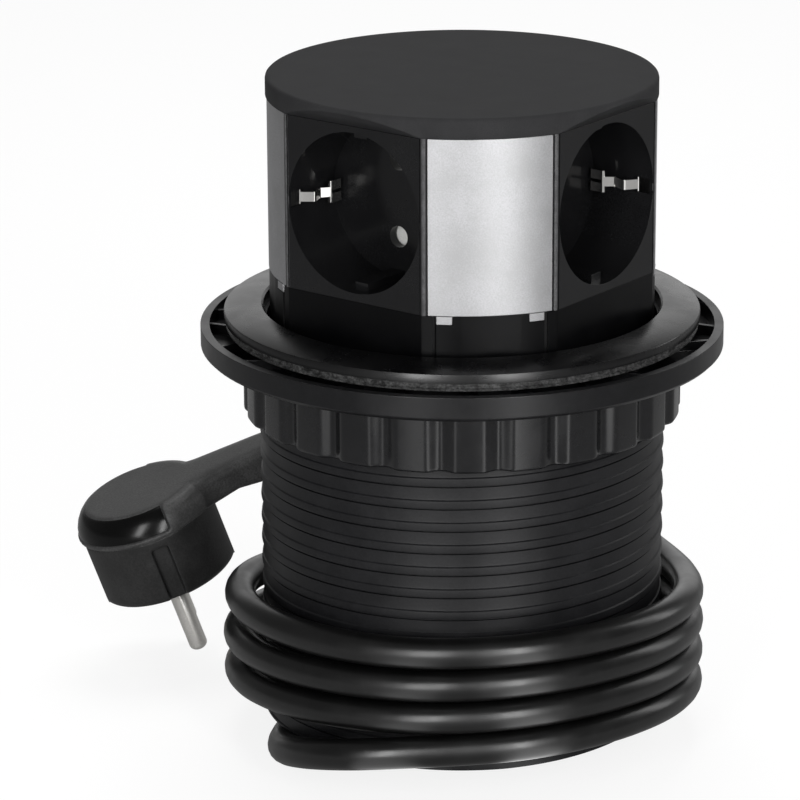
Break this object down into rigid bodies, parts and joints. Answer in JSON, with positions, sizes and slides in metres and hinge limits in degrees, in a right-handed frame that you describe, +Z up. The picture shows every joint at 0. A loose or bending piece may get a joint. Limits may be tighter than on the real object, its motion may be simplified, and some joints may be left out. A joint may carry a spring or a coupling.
{
  "type": "pop up desk socket",
  "caption": "Round tower of earthed mains sockets that slides up out of a threaded barrel clamped in a desk hole, with its lead wound round the barrel.",
  "frame": {"origin": "on the barrel's axis, at the underside of the foot that it stands on", "axes": "+Z up along the barrel; the sockets face -Y, +X, +Y and -X"},
  "size_m": [0.178, 0.1327, 0.1705],
  "materials": {
    "matt_black_plastic": "fine matt moulded",
    "satin_black_plastic": "satin moulded",
    "black_rubber": "smooth soft sheath",
    "gloss_black_plastic": "polished moulded",
    "anodised_aluminium": "bead blasted and anodised",
    "white_plastic": "smooth moulded",
    "grey_insulator": "moulded",
    "nickel_plate": "bright nickel plate",
    "brass": "pressed",
    "steel": "zinc plated",
    "circuit_board": "solder mask",
    "copper_wire": "enamelled winding",
    "ferrite": "sintered"
  },
  "bodies": {
    "housing": {"barrel": "matt_black_plastic", "bezel_flange": "satin_black_plastic", "seal_ring": "black_rubber", "bottom_cover": "matt_black_plastic", "cover_screws": "steel", "cord_gland": "black_rubber", "cord_lead": "black_rubber", "cord_coil": "black_rubber", "cord_rise": "black_rubber", "plug_cover": "black_rubber", "plug_drum": "satin_black_plastic", "plug_band": "gloss_black_plastic", "plug_pins": "nickel_plate", "plug_earth": "nickel_plate"},
    "tower": {"tower_base": "matt_black_plastic", "top_cover": "satin_black_plastic", "contact_core": "grey_insulator", "live_bar": "brass", "neutral_bar": "brass", "charger_board": "circuit_board", "charge_coil": "copper_wire", "ferrite_sheet": "ferrite", "tower_screws": "steel", "shutter_springs": "steel", "socket_front": "satin_black_plastic", "socket_right": "satin_black_plastic", "socket_back": "satin_black_plastic", "socket_left": "satin_black_plastic", "earth_clips_front": "nickel_plate", "earth_clips_right": "nickel_plate", "earth_clips_back": "nickel_plate", "earth_clips_left": "nickel_plate", "contacts_front": "brass", "contacts_right": "brass", "contacts_back": "brass", "contacts_left": "brass", "corner_post_front_right": "matt_black_plastic", "corner_post_back_right": "matt_black_plastic", "corner_post_back_left": "matt_black_plastic", "corner_post_front_left": "matt_black_plastic", "panel_front_right": "anodised_aluminium", "panel_back_right": "anodised_aluminium", "panel_back_left": "anodised_aluminium", "panel_front_left": "anodised_aluminium"},
    "clamp_ring": {"clamp_ring": "satin_black_plastic"},
    "clamp_nut": {"clamp_nut": "satin_black_plastic"},
    "shutter_front": {"shutter_front": "white_plastic"},
    "shutter_right": {"shutter_right": "white_plastic"},
    "shutter_back": {"shutter_back": "white_plastic"},
    "shutter_left": {"shutter_left": "white_plastic"}
  },
  "joints": [
    {"name": "tower_slide", "type": "slide", "parent": "housing", "child": "tower", "axis": [0, 0, 1], "range_m": [-0.0569, 0]},
    {"name": "clamp_ring_slide", "type": "slide", "parent": "housing", "child": "clamp_ring", "axis": [0, 0, 1], "range_m": [-0.0299, 0]},
    {"name": "clamp_nut_spin", "type": "hinge", "parent": "clamp_ring", "child": "clamp_nut", "pos_m": [0, 0, 0.094], "axis": [0, 0, 1], "range_deg": [-1920, 0]},
    {"name": "shutter_front_turn", "type": "hinge", "parent": "tower", "child": "shutter_front", "pos_m": [0, -0.0219, 0.1445], "axis": [0, -1, 0], "range_deg": [0, 42], "stiffness_Nm_per_rad": 0.01, "springref_deg": -11.46},
    {"name": "shutter_right_turn", "type": "hinge", "parent": "tower", "child": "shutter_right", "pos_m": [0.0219, 0, 0.1445], "axis": [1, 0, 0], "range_deg": [0, 42], "stiffness_Nm_per_rad": 0.01, "springref_deg": -11.46},
    {"name": "shutter_back_turn", "type": "hinge", "parent": "tower", "child": "shutter_back", "pos_m": [0, 0.0219, 0.1445], "axis": [0, 1, 0], "range_deg": [0, 42], "stiffness_Nm_per_rad": 0.01, "springref_deg": -11.46},
    {"name": "shutter_left_turn", "type": "hinge", "parent": "tower", "child": "shutter_left", "pos_m": [-0.0219, 0, 0.1445], "axis": [-1, 0, 0], "range_deg": [0, 42], "stiffness_Nm_per_rad": 0.01, "springref_deg": -11.46}
  ],
  "couplings": [
    {"joint": "clamp_ring_slide", "follows": "clamp_nut_spin", "m_per_rad": 0.00089127}
  ]
}
